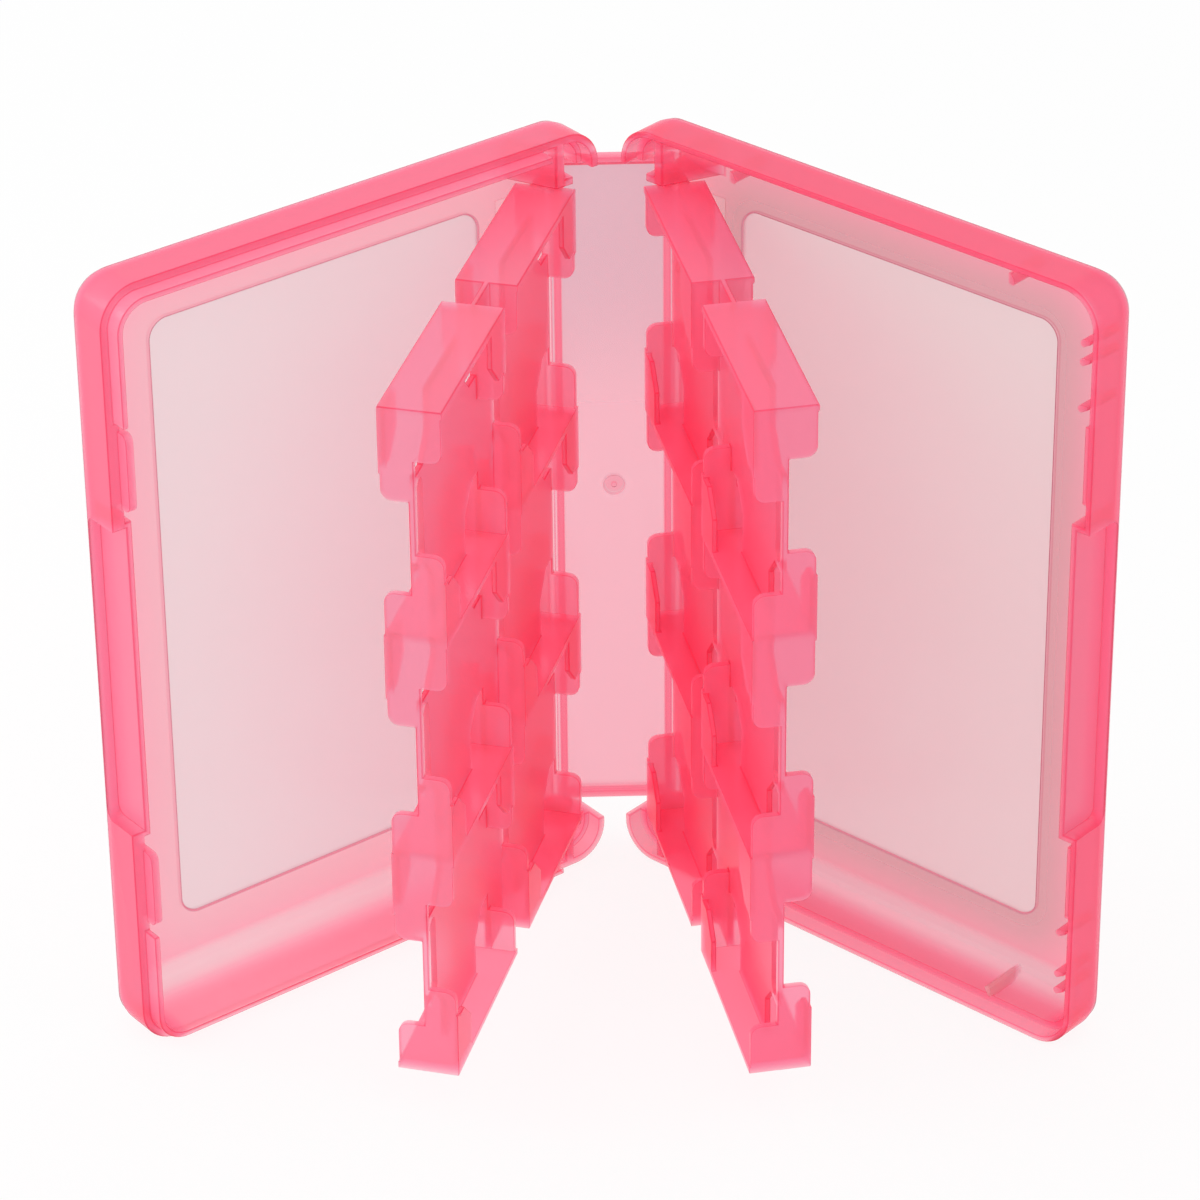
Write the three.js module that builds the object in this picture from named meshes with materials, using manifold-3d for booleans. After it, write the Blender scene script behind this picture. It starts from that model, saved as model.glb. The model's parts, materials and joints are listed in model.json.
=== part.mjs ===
// Book-style card case in frosted polypropylene, standing open on its lower edges.
// A spine carries two covers on thin hinge films, and each cover carries a swinging card tray.
// Each tray has two columns of three card pockets on both of its faces.
// Millimetres, +Z up, the spine at the back and the opening edges of the covers towards -Y.
import * as THREE from 'three';
import { mergeVertices } from 'three/addons/utils/BufferGeometryUtils.js';
import Module from 'manifold-3d';

const wasm = await Module();
wasm.setup();

// Overall sizes of the covers
const HEIGHT = 142;
const COVER_REACH = 95.4;
const LEFT_DEPTH = 11.2;
const RIGHT_DEPTH = 11.5;
const RIM_GAP = 0.3;
const CORNER_RADIUS = 7;
const EAR_RADIUS = 6.2;
const BACK_ROUNDING = 5;
const INNER_FILLET = 2.8;
const PANEL = 0.8;

// Rest pose: how far each cover is open, and how far each tray swings out from its cover
const LEFT_OPEN = THREE.MathUtils.degToRad(53.66);
const RIGHT_OPEN = THREE.MathUtils.degToRad(46.92);
const LEFT_SWING = THREE.MathUtils.degToRad(37.7);
const RIGHT_SWING = THREE.MathUtils.degToRad(37.14);

// Hinges between the spine and the covers
const HINGE_INSET = 0.5;
const FILM_RADIUS = 0.35;
const FILM_GAP = 0.3;
const EAR_HEIGHT = 7.3;
const EAR_OVERHANG = 2.9;
const EAR_GAP = 0.9;

// Spine
const SPINE_THICKNESS = 1.2;
const RIDGE_WIDTH = 1.0;
const RIDGE_RISE = 0.7;
const RIDGE_INSET = 0.6;
const SPINE_FLANGE = 1.3;
const SPINE_FLANGE_REACH = 1.3;
const GATE_RADIUS = 1.8;
const GATE_DEPTH = 0.4;
const GATE_PIP_RADIUS = 0.5;

// Rim: the left cover has a ledge and a tongue, the right cover a lip that goes over the tongue
const LEDGE = 1.37;
const TONGUE = 1.0;
const TONGUE_RISE = 2.9;
const TONGUE_START = 8.5;
const LIP_CLEARANCE = 0.33;
const RIM_CLEARANCE = 0.3;

// Finger grip in the opening edge
const GRIP_LENGTH = 57;
const GRIP_DEPTH = 2.6;
const GRIP_SHELF = 3.4;
const GRIP_WALL = 1.1;
const GRIP_CORNER = 1.8;

// Snap fingers of the left rim and the catch strips of the right one
const FINGER_SPACE = 3.7;
const FINGER_LENGTH = 14;
const FINGER_RISE = 2.3;
const FINGER_ROOT = 2.5;
const FINGER_INSET = 2.0;
const FINGER_THICKNESS = 1.45;
const FINGER_CORNER = 1.4;
const FINGER_SLIT = 1.6;
const CATCH_WIDTH = 1.1;
const CATCH_THICKNESS = 1.4;

// Thin window and hinge strip of each cover panel
const WINDOW_HINGE_MARGIN = 14.4;
const WINDOW_EDGE_MARGIN = 15.5;
const WINDOW_END_MARGIN = 14.5;
const WINDOW_LIFT = 0.5;
const WINDOW_RADIUS = 3.5;
const WINDOW_DEPTH = 0.3;
const STRIP_WIDTH = 10.8;
const STRIP_DEPTH = 0.25;

// Ribs inside the right rim, measured from its outer corners
const RIB_END_OFFSETS = [10.2, 13.5, 21.7];
const RIB_HINGE_OFFSET = 19.8;
const RIB_EDGE_OFFSET = 18.4;
const RIB_WIDTH = 1.3;
const RIB_REACH = 2.35;
const RIB_RISE = 1.0;

// Trays
const TRAY_CLEARANCE = 0.2;
const TRAY_END_GAP = 9.6;
const TRAY_EDGE_GAP = 7.9;
const COLUMN_GAP = 7.8;
const ROWS = 3;
const COLUMNS = 2;
const WEB = 1.0;
const SHELF = 1.2;
const TAB = 1.2;
const TAB_LONG = 15;
const TAB_SHORT = 7.8;
const TAB_RADIUS = 1.8;
const TAB_STEP = 0.25;
const LIP_LENGTH = 10.5;
const LIP_REACH = 7.5;
const LIP_THICKNESS = 0.9;
const LIP_CUT = 4;
const LIP_WINDOW_MARGIN = 0.4;
const SLOT_WIDTH = 3.4;
const SLOT_LENGTH = 15;

// Tray pivots and the brackets that hold them
const PIVOT_REACH = 3.6;
const PIVOT_TO_RAIL = 2.5;
const PIN_RADIUS = 1.4;
const PIN_CLEARANCE = 0.3;
const PIN_TIP = 0.2;
const ARM_RADIUS = 2.6;
const BRACKET = 1.4;
const BRACKET_GAP = 0.5;
const BRACKET_START = 2.3;
const BRACKET_LENGTH = 8.6;
const BRACKET_FRONT = 3.6;
const BRACKET_SKIRT = 1.2;

// Fineness of the rounded forms, and how far a cutting tool runs past what it cuts
const ARC_STEPS = 6;
const ROUNDING_STEPS = 4;
const SMALL_ARC_STEPS = 3;
const PIN_SIDES = 20;
const PAST = 1;

// Values that follow from the sizes above
const MIDDLE = HEIGHT / 2;
const CLOSED_DEPTH = LEFT_DEPTH + RIGHT_DEPTH + RIM_GAP;
const HINGE_SPACING = CLOSED_DEPTH - 2 * HINGE_INSET;
const FILM_EDGE = FILM_RADIUS + FILM_GAP;
const EAR_EDGE = -EAR_OVERHANG;
const WALL = LEDGE + TONGUE;
const LIP = LEDGE - LIP_CLEARANCE;
const SPINE_END = EAR_HEIGHT + EAR_GAP;
const FINGER_OFFSET = GRIP_LENGTH / 2 + FINGER_SPACE + FINGER_LENGTH / 2;
const BRACKET_DEPTH = Math.min(LEFT_DEPTH, RIGHT_DEPTH);
const TRAY_DEPTH = (CLOSED_DEPTH - 2 * PANEL - 3 * TRAY_CLEARANCE) / 2;
const PIVOT_DEPTH = PANEL + TRAY_CLEARANCE + TRAY_DEPTH / 2;
const TRAY_LENGTH = COVER_REACH - TRAY_EDGE_GAP - PIVOT_REACH - PIVOT_TO_RAIL;
const COLUMN_LENGTH = (TRAY_LENGTH - (COLUMNS - 1) * COLUMN_GAP) / COLUMNS;
const TRAY_TOP = HEIGHT - TRAY_END_GAP;
const ROW_PITCH = (TRAY_TOP - TRAY_END_GAP - SHELF) / ROWS;

// Turns a closed geometry into a solid for cutting and joining.
function solid(geometry) {
  const bare = geometry.index ? geometry.toNonIndexed() : geometry.clone();
  bare.deleteAttribute('normal');
  bare.deleteAttribute('uv');
  const merged = mergeVertices(bare, 1e-5);
  const vertProperties = new Float32Array(merged.attributes.position.array);
  const triVerts = new Uint32Array(merged.index.array);
  return new wasm.Manifold(new wasm.Mesh({ numProp: 3, vertProperties, triVerts }));
}

// Turns a finished solid into a named mesh.
function meshOf(body, name, material) {
  const { vertProperties, triVerts } = body.getMesh();
  const geometry = new THREE.BufferGeometry();
  geometry.setAttribute('position', new THREE.BufferAttribute(vertProperties, 3));
  geometry.setIndex(new THREE.BufferAttribute(triVerts, 1));
  geometry.computeVertexNormals();
  const mesh = new THREE.Mesh(geometry, material);
  mesh.name = name;
  return mesh;
}

// Joins a list of solids into one.
function join(bodies) {
  return bodies.reduce((whole, body) => whole.add(body));
}

// Box between two corners.
function box(low, high) {
  const size = high.map((value, axis) => value - low[axis]);
  const geometry = new THREE.BoxGeometry(...size);
  geometry.translate(...high.map((value, axis) => (value + low[axis]) / 2));
  return solid(geometry);
}

// Upright cylinder.
function post(x, y, radius, low, high) {
  const geometry = new THREE.CylinderGeometry(radius, radius, high - low, PIN_SIDES);
  geometry.rotateX(Math.PI / 2);
  geometry.translate(x, y, (low + high) / 2);
  return solid(geometry);
}

// Outline drawn in the X-Z plane and carried along Y.
function slab(shape, near, far, steps = ARC_STEPS) {
  const options = { depth: far - near, bevelEnabled: false, curveSegments: steps };
  const geometry = new THREE.ExtrudeGeometry(shape, options);
  geometry.rotateX(Math.PI / 2);
  geometry.translate(0, far, 0);
  return solid(geometry);
}

// Outline drawn in the X-Y plane and carried up along Z.
function prism(shape, low, high, steps = ARC_STEPS) {
  const options = { depth: high - low, bevelEnabled: false, curveSegments: steps };
  const geometry = new THREE.ExtrudeGeometry(shape, options);
  geometry.translate(0, 0, low);
  return solid(geometry);
}

// Outline whose first coordinate is Y and second is Z, carried along X.
function crossPiece(shape, near, far, steps = SMALL_ARC_STEPS) {
  const options = { depth: far - near, bevelEnabled: false, curveSegments: steps };
  const geometry = new THREE.ExtrudeGeometry(shape, options);
  geometry.rotateX(Math.PI / 2);
  geometry.rotateZ(Math.PI / 2);
  geometry.translate(near, 0, 0);
  return solid(geometry);
}

// Polygon with straight sides.
function polygon(points) {
  return new THREE.Shape(points.map(([x, y]) => new THREE.Vector2(x, y)));
}

// Rectangle with one radius at its left corners and one at its right corners.
function roundedRectangle(left, right, low, high, leftRadius, rightRadius) {
  const quarter = Math.PI / 2;
  const shape = new THREE.Shape();
  shape.moveTo(left + leftRadius, low);
  shape.lineTo(right - rightRadius, low);
  shape.absarc(right - rightRadius, low + rightRadius, rightRadius, -quarter, 0);
  shape.lineTo(right, high - rightRadius);
  shape.absarc(right - rightRadius, high - rightRadius, rightRadius, 0, quarter);
  shape.lineTo(left + leftRadius, high);
  shape.absarc(left + leftRadius, high - leftRadius, leftRadius, quarter, 2 * quarter);
  shape.lineTo(left, low + leftRadius);
  shape.absarc(left + leftRadius, low + leftRadius, leftRadius, 2 * quarter, 3 * quarter);
  return shape;
}

// Outline of a cover, seen from its face and drawn in by an inset all round.
// X runs from the hinge to the opening edge.
function coverOutline(inset) {
  const right = COVER_REACH - inset;
  const hingeRadius = EAR_RADIUS - inset;
  const openRadius = CORNER_RADIUS - inset;
  return roundedRectangle(EAR_EDGE + inset, right, inset, HEIGHT - inset, hingeRadius, openRadius);
}

// Block inside a cover outline, with its back edge rounded all round and its front trimmed flat.
function coverBlock(inset, back, front, rounding) {
  const options = {
    depth: front - back - rounding,
    bevelThickness: rounding,
    bevelSize: rounding,
    bevelOffset: -rounding,
    bevelSegments: ROUNDING_STEPS,
    curveSegments: ARC_STEPS,
  };
  const geometry = new THREE.ExtrudeGeometry(coverOutline(inset), options);
  geometry.rotateX(Math.PI / 2);
  geometry.translate(0, front, 0);
  return solid(geometry).intersect(slab(coverOutline(inset), back, front));
}

// Recess of the finger grip in the opening edge, above a shelf, with rounded corners.
function gripRecess() {
  const low = MIDDLE - GRIP_LENGTH / 2;
  const high = MIDDLE + GRIP_LENGTH / 2;
  const outline = roundedRectangle(GRIP_SHELF, CLOSED_DEPTH, low, high, GRIP_CORNER, GRIP_CORNER);
  return crossPiece(outline, COVER_REACH - GRIP_DEPTH, COVER_REACH + PAST);
}

// Block that the grip and the wall behind it take up in the opening edge.
function gripBlock() {
  const half = GRIP_LENGTH / 2 + GRIP_WALL;
  const left = COVER_REACH - GRIP_DEPTH - GRIP_WALL;
  return box([left, 0, MIDDLE - half], [COVER_REACH + PAST, CLOSED_DEPTH, MIDDLE + half]);
}

// Hollow of a cover, which leaves the panel, the rim walls and the wall behind the grip.
function coverHollow() {
  const hollow = coverBlock(WALL, PANEL, CLOSED_DEPTH, INNER_FILLET);
  return hollow.subtract(gripBlock());
}

// Clearance along the hinge between the two ears, where the spine passes.
function hingeClearance() {
  const top = HEIGHT - EAR_HEIGHT;
  const left = EAR_EDGE - PAST;
  const edge = box([left, -PAST, EAR_HEIGHT], [FILM_EDGE, CLOSED_DEPTH, top]);
  const wall = box([left, PANEL, EAR_HEIGHT], [EAR_EDGE + WALL + INNER_FILLET, CLOSED_DEPTH, top]);
  return edge.add(wall);
}

// Stretch of the left rim beside the ears, where there is no tongue.
function tonguelessEnd() {
  return box([EAR_EDGE, LEFT_DEPTH - TONGUE_RISE, 0], [TONGUE_START, CLOSED_DEPTH, HEIGHT]);
}

// Shallow recesses on the inside of a panel: the thin window and the strip along the hinge.
// The window lies a little off mid height, by a given shift.
function panelRecesses(shift) {
  const right = COVER_REACH - WINDOW_EDGE_MARGIN;
  const low = WINDOW_END_MARGIN + shift;
  const high = HEIGHT - WINDOW_END_MARGIN + shift;
  const outline = roundedRectangle(WINDOW_HINGE_MARGIN, right, low, high, WINDOW_RADIUS, WINDOW_RADIUS);
  const window = slab(outline, PANEL - WINDOW_DEPTH, PANEL + PAST);
  const end = EAR_HEIGHT + EAR_RADIUS;
  const strip = box([-PAST, PANEL - STRIP_DEPTH, end], [STRIP_WIDTH, PANEL + PAST, HEIGHT - end]);
  return window.add(strip);
}

// Plan of a pivot bracket, drawn in by an inset on its two free sides.
function bracketPlan(inset) {
  const end = BRACKET_START + BRACKET_LENGTH - inset;
  const front = BRACKET_DEPTH - inset;
  const corner = BRACKET_START + BRACKET_FRONT - inset;
  const back = PANEL / 2;
  return polygon([[BRACKET_START, back], [end, back], [corner, front], [BRACKET_START, front]]);
}

// One bracket at the low end of a cover: a plate with a pin hole, and a skirt down to the end wall.
function lowBracket() {
  const high = TRAY_END_GAP - BRACKET_GAP;
  const low = high - BRACKET;
  const floor = WALL / 2;
  const full = prism(bracketPlan(0), floor, high);
  const inner = prism(bracketPlan(BRACKET_SKIRT), floor - PAST, low);
  const mouth = box(
    [BRACKET_START - PAST, PANEL, floor - PAST],
    [BRACKET_START + BRACKET_FRONT / 2, BRACKET_DEPTH + PAST, low]);
  const hole = post(PIVOT_REACH, PIVOT_DEPTH, PIN_RADIUS + PIN_CLEARANCE, low - PAST, high + PAST);
  return full.subtract(inner).subtract(mouth).subtract(hole);
}

// Copies a solid to the other end of the case, as in a mirror at mid height.
function otherEnd(body) {
  const { vertProperties, triVerts } = body.getMesh();
  const points = vertProperties.map((value, index) => (index % 3 === 2 ? HEIGHT - value : value));
  const faces = triVerts.slice();
  for (let face = 0; face < faces.length; face += 3) {
    faces[face] = triVerts[face + 1];
    faces[face + 1] = triVerts[face];
  }
  return new wasm.Manifold(new wasm.Mesh({ numProp: 3, vertProperties: points, triVerts: faces }));
}

// Shell that both covers share: panel, rim walls, grip, recesses and pivot brackets.
// A rebate in the rim is cut before the brackets go in.
function coverShell(depth, rebate, windowShift) {
  const block = coverBlock(0, 0, depth, BACK_ROUNDING);
  const recesses = panelRecesses(windowShift);
  const cuts = [gripRecess(), coverHollow(), recesses, hingeClearance(), rebate];
  const bracket = lowBracket().intersect(block);
  return block.subtract(join(cuts)).add(bracket).add(otherEnd(bracket));
}

// Snap finger that stands up from the inside of the left rim, with rounded free corners.
function snapFinger(middle) {
  const half = FINGER_LENGTH / 2;
  const root = LEFT_DEPTH - FINGER_ROOT;
  const tip = LEFT_DEPTH + FINGER_RISE;
  const quarter = Math.PI / 2;
  const shape = new THREE.Shape();
  shape.moveTo(root, middle - half);
  shape.lineTo(tip - FINGER_CORNER, middle - half);
  shape.absarc(tip - FINGER_CORNER, middle - half + FINGER_CORNER, FINGER_CORNER, -quarter, 0);
  shape.lineTo(tip, middle + half - FINGER_CORNER);
  shape.absarc(tip - FINGER_CORNER, middle + half - FINGER_CORNER, FINGER_CORNER, 0, quarter);
  shape.lineTo(root, middle + half);
  const outside = COVER_REACH - FINGER_INSET;
  return crossPiece(shape, outside - FINGER_THICKNESS, outside);
}

// Stretch of the left rim with the grip and the two snap fingers, where there is no tongue.
function latchStretch() {
  const half = FINGER_OFFSET + FINGER_LENGTH / 2 + FINGER_SLIT;
  const left = COVER_REACH - WALL - GRIP_DEPTH - GRIP_WALL;
  return box([left, 0, MIDDLE - half], [COVER_REACH, CLOSED_DEPTH, MIDDLE + half]);
}

// Left cover: the shell with two snap fingers and a tongue round its rim.
// The tongue stops at the ears and at the latch.
function leftCover() {
  const top = LEFT_DEPTH + TONGUE_RISE;
  const ring = slab(coverOutline(LEDGE), LEFT_DEPTH - TONGUE, top);
  const tongue = ring.subtract(join([latchStretch(), coverHollow(), tonguelessEnd()]));
  const middles = [MIDDLE - FINGER_OFFSET, MIDDLE + FINGER_OFFSET];
  const fingers = join(middles.map(snapFinger));
  const thinned = slab(coverOutline(LEDGE), PANEL, CLOSED_DEPTH).intersect(tonguelessEnd());
  return coverShell(LEFT_DEPTH, thinned, WINDOW_LIFT).add(tongue).add(fingers);
}

// Depth of the rebate that takes the tongue inside the right rim.
function rebateFloor() {
  return CLOSED_DEPTH - LEFT_DEPTH - TONGUE_RISE - RIM_CLEARANCE;
}

// Rebate inside the right rim that takes the tongue, which leaves out the grip.
function lipRebate() {
  return slab(coverOutline(LIP), rebateFloor(), CLOSED_DEPTH).subtract(gripBlock());
}

// Rib with a round tip inside the right rim, from the panel to above the rebate.
// Its root is in the wall at a given point, and it reaches inwards along X or Z.
function rimRib(x, z, inwardX, inwardZ) {
  const radius = RIB_WIDTH / 2;
  const straight = RIB_REACH - radius;
  const rootX = x - inwardX * TONGUE / 2;
  const rootZ = z - inwardZ * TONGUE / 2;
  const inward = Math.atan2(inwardZ, inwardX);
  const quarter = Math.PI / 2;
  const shape = new THREE.Shape();
  shape.moveTo(rootX + inwardZ * radius, rootZ - inwardX * radius);
  shape.absarc(x + inwardX * straight, z + inwardZ * straight, radius, inward - quarter, inward + quarter);
  shape.lineTo(rootX - inwardZ * radius, rootZ + inwardX * radius);
  return slab(shape, PANEL, rebateFloor() + RIB_RISE, SMALL_ARC_STEPS);
}

// All ribs of the right rim: three at each end of the opening edge and two along each end wall.
// Above the rebate they stand clear behind the tongue.
function rimRibs() {
  const edge = COVER_REACH - WALL;
  const top = HEIGHT - WALL;
  const ribs = RIB_END_OFFSETS.flatMap((offset) => [
    rimRib(edge, offset, -1, 0),
    rimRib(edge, HEIGHT - offset, -1, 0),
  ]);
  const places = [RIB_HINGE_OFFSET, COVER_REACH - RIB_EDGE_OFFSET];
  places.forEach((place) => ribs.push(rimRib(place, WALL, 0, 1), rimRib(place, top, 0, -1)));
  const behind = slab(coverOutline(WALL + LIP_CLEARANCE), 0, CLOSED_DEPTH);
  return join(ribs).subtract(lipRebate().subtract(behind));
}

// Strip inside the right rim, under the tip of a snap finger.
function catchStrip(middle) {
  const half = FINGER_LENGTH / 2;
  const wall = COVER_REACH - WALL;
  const top = CLOSED_DEPTH - LEFT_DEPTH - FINGER_RISE - RIM_CLEARANCE;
  const low = [wall - CATCH_WIDTH, top - CATCH_THICKNESS, middle - half];
  return box(low, [wall + TONGUE / 2, top, middle + half]);
}

// Right cover: the shell with a lip that goes over the tongue, catch strips and ribs.
// It is drawn upside down, so that its window shifts the other way.
function rightCover() {
  const middles = [MIDDLE - FINGER_OFFSET, MIDDLE + FINGER_OFFSET];
  const catches = join(middles.map(catchStrip));
  const ribs = rimRibs().intersect(coverBlock(0, 0, RIGHT_DEPTH, BACK_ROUNDING));
  return coverShell(RIGHT_DEPTH, lipRebate(), -WINDOW_LIFT).add(catches).add(ribs);
}

// Height of the lower face of a tray shelf, counted from the bottom.
function shelfHeight(row) {
  return TRAY_END_GAP + row * ROW_PITCH;
}

// End wall of a tray column above and below one shelf, on the face where the depth is positive.
// It has a full stretch beside the shelf and a narrower end with a rounded corner.
function tabShape(row, up, down) {
  const low = Math.max(shelfHeight(row) - down, TRAY_END_GAP);
  const high = Math.min(shelfHeight(row) + SHELF + up, TRAY_TOP);
  const edge = TRAY_DEPTH / 2;
  const narrow = edge - TAB_STEP;
  const fullLow = Math.max(shelfHeight(row) - (down > up ? LIP_LENGTH : 0), TRAY_END_GAP);
  const fullHigh = Math.min(shelfHeight(row) + SHELF + (up > down ? LIP_LENGTH : 0), TRAY_TOP);
  const quarter = Math.PI / 2;
  const shape = new THREE.Shape();
  shape.moveTo(0, low);
  if (low < fullLow) {
    shape.lineTo(narrow - TAB_RADIUS, low);
    shape.absarc(narrow - TAB_RADIUS, low + TAB_RADIUS, TAB_RADIUS, -quarter, 0);
    shape.lineTo(narrow, fullLow);
  }
  shape.lineTo(edge, fullLow);
  shape.lineTo(edge, fullHigh);
  if (high > fullHigh) {
    shape.lineTo(narrow, fullHigh);
    shape.lineTo(narrow, high - TAB_RADIUS);
    shape.absarc(narrow - TAB_RADIUS, high - TAB_RADIUS, TAB_RADIUS, 0, quarter);
  }
  shape.lineTo(0, high);
  return shape;
}

// Corner of a card pocket that holds the card in: a trapezoid reaching in from a column end.
// The same outline, a little larger, is the window behind it in the web.
function lipOutline(start, direction, shelfFace, upwards, margin) {
  const reach = LIP_REACH + margin;
  const length = LIP_LENGTH + margin;
  const far = start + direction * reach;
  const cut = far - direction * LIP_CUT;
  const end = shelfFace + upwards * length;
  const shoulder = end - upwards * LIP_CUT;
  return polygon([[start, shelfFace], [far, shelfFace], [far, shoulder], [cut, end], [start, end]]);
}

// Slot through the web at mid height of a pocket, beside the outer column end.
function webSlot(columnEnd, row) {
  const right = columnEnd - TAB;
  const middle = shelfHeight(row) + (SHELF + ROW_PITCH) / 2;
  const half = SLOT_LENGTH / 2;
  const radius = SLOT_WIDTH / 2;
  const outline = roundedRectangle(right - SLOT_WIDTH, right, middle - half, middle + half, radius, radius);
  return slab(outline, -WEB, WEB, SMALL_ARC_STEPS);
}

// Turns a solid half a turn about the upright line through the middle of a column.
function halfTurn(body, middle) {
  const { vertProperties, triVerts } = body.getMesh();
  const points = vertProperties.slice();
  for (let index = 0; index < points.length; index += 3) {
    points[index] = 2 * middle - vertProperties[index];
    points[index + 1] = -vertProperties[index + 1];
  }
  return new wasm.Manifold(new wasm.Mesh({ numProp: 3, vertProperties: points, triVerts }));
}

// Tabs and lips of one shelf on the face where the depth is positive.
// The hinge-side tab hangs long below the shelf and the outer one stands long above it.
function shelfFittings(start, end, row) {
  const fittings = [
    crossPiece(tabShape(row, TAB_SHORT, TAB_LONG), start, start + TAB),
    crossPiece(tabShape(row, TAB_LONG, TAB_SHORT), end - TAB, end),
  ];
  const near = TRAY_DEPTH / 2 - LIP_THICKNESS;
  const far = TRAY_DEPTH / 2;
  const under = shelfHeight(row) + SHELF / 2;
  if (row > 0) {
    fittings.push(slab(lipOutline(start + TAB / 2, 1, under, -1, 0), near, far));
  }
  if (row < ROWS) {
    fittings.push(slab(lipOutline(end - TAB / 2, -1, under, 1, 0), near, far));
  }
  return join(fittings);
}

// Windows in the web behind the lips of one pocket, and the slot beside its outer end.
function pocketOpenings(start, end, row) {
  const low = shelfHeight(row) + SHELF;
  const high = shelfHeight(row + 1);
  const left = start + TAB;
  const right = end - TAB;
  const outlines = [
    lipOutline(left, 1, low, 1, LIP_WINDOW_MARGIN),
    lipOutline(left, 1, high, -1, LIP_WINDOW_MARGIN),
    lipOutline(right, -1, low, 1, LIP_WINDOW_MARGIN),
    lipOutline(right, -1, high, -1, LIP_WINDOW_MARGIN),
  ];
  const windows = outlines.map((outline) => slab(outline, -WEB, WEB));
  return join([...windows, webSlot(end, row)]);
}

// One column of a tray: shelves across both faces with their tabs and lips.
function trayColumn(start) {
  const end = start + COLUMN_LENGTH;
  const half = TRAY_DEPTH / 2;
  const pieces = [];
  for (let row = 0; row <= ROWS; row += 1) {
    const low = shelfHeight(row);
    pieces.push(box([start, -half, low], [end, half, low + SHELF]));
    const fittings = shelfFittings(start, end, row);
    pieces.push(fittings, halfTurn(fittings, (start + end) / 2));
  }
  return join(pieces);
}

// Arm of a tray at its low end, with the pivot pin under it.
function pivotArm() {
  const low = TRAY_END_GAP;
  const quarter = Math.PI / 2;
  const shape = new THREE.Shape();
  shape.moveTo(0, -ARM_RADIUS);
  shape.lineTo(PIVOT_TO_RAIL + TAB, -ARM_RADIUS);
  shape.lineTo(PIVOT_TO_RAIL + TAB, ARM_RADIUS);
  shape.lineTo(0, ARM_RADIUS);
  shape.absarc(0, 0, ARM_RADIUS, quarter, 3 * quarter);
  const tip = low - BRACKET_GAP - BRACKET - PIN_TIP;
  return prism(shape, low, low + SHELF).add(post(0, 0, PIN_RADIUS, tip, low + SHELF / 2));
}

// Card tray: a web with windows, two columns of shelves and a pivot arm at each end.
function cardTray() {
  const columns = [];
  const openings = [];
  for (let column = 0; column < COLUMNS; column += 1) {
    const start = PIVOT_TO_RAIL + column * (COLUMN_LENGTH + COLUMN_GAP);
    columns.push(trayColumn(start));
    for (let row = 0; row < ROWS; row += 1) {
      openings.push(pocketOpenings(start, start + COLUMN_LENGTH, row));
    }
  }
  const far = PIVOT_TO_RAIL + TRAY_LENGTH;
  const web = box([PIVOT_TO_RAIL, -WEB / 2, TRAY_END_GAP], [far, WEB / 2, TRAY_TOP]);
  const arm = pivotArm();
  return join([web.subtract(join(openings)), ...columns, arm, otherEnd(arm)]);
}

// Spine: a panel with two ridges beside the hinges, a flange at each end and a gate mark.
function spinePanel() {
  const half = HINGE_SPACING / 2 - FILM_EDGE;
  const front = -SPINE_THICKNESS / 2;
  const top = HEIGHT - SPINE_END;
  const panel = box([-half, front, SPINE_END], [half, SPINE_THICKNESS / 2, top]);
  const ridgeEnd = half - RIDGE_INSET;
  const ridgeStart = ridgeEnd - RIDGE_WIDTH;
  const ridges = [-1, 1].map((side) => {
    const edges = [side * ridgeStart, side * ridgeEnd];
    return box(
      [Math.min(...edges), front - RIDGE_RISE, SPINE_END],
      [Math.max(...edges), 0, top]);
  });
  const flange = box(
    [-ridgeStart, front - SPINE_FLANGE_REACH, SPINE_END],
    [ridgeStart, 0, SPINE_END + SPINE_FLANGE]);
  const mark = new THREE.CylinderGeometry(GATE_RADIUS, GATE_RADIUS, 2 * GATE_DEPTH, PIN_SIDES);
  mark.translate(0, front, MIDDLE);
  const pip = new THREE.CylinderGeometry(GATE_PIP_RADIUS, GATE_PIP_RADIUS, SPINE_THICKNESS, PIN_SIDES / 2);
  pip.translate(0, 0, MIDDLE);
  return join([panel.subtract(solid(mark)).add(solid(pip)), ...ridges, flange, otherEnd(flange)]);
}

// Bead of a hinge film on its axis.
function hingeFilm(side) {
  return post(side * HINGE_SPACING / 2, 0, FILM_RADIUS, SPINE_END, HEIGHT - SPINE_END);
}

// Frosted translucent polypropylene, a little deeper in colour on the trays.
function frosted(colour) {
  return new THREE.MeshStandardMaterial({ color: colour, roughness: 0.45, metalness: 0 });
}

const coverPink = frosted(0xf58ea2);
const spinePink = frosted(0xf0b4bc);
const trayPink = frosted(0xf7889c);

// Frame of a cover, turning on its hinge axis, X from the hinge to the opening edge.
const leftHinge = new THREE.Group();
leftHinge.position.x = -HINGE_SPACING / 2;
leftHinge.rotation.z = -(Math.PI / 2 + LEFT_OPEN);
const leftMesh = meshOf(leftCover(), 'left_cover', coverPink);
leftMesh.position.y = -HINGE_INSET;
leftHinge.add(leftMesh);

const rightHinge = new THREE.Group();
rightHinge.position.x = HINGE_SPACING / 2;
rightHinge.rotation.z = RIGHT_OPEN - Math.PI / 2;
const rightMesh = meshOf(rightCover(), 'right_cover', coverPink);
rightMesh.position.set(0, HINGE_INSET, HEIGHT);
rightMesh.rotation.x = Math.PI;
rightHinge.add(rightMesh);

// The two trays are one and the same moulding, each turning on pins inside its cover.
const tray = cardTray();
const leftTray = meshOf(tray, 'left_tray', trayPink);
leftTray.position.set(PIVOT_REACH, PIVOT_DEPTH - HINGE_INSET, 0);
leftTray.rotation.z = LEFT_SWING;
leftHinge.add(leftTray);

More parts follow.
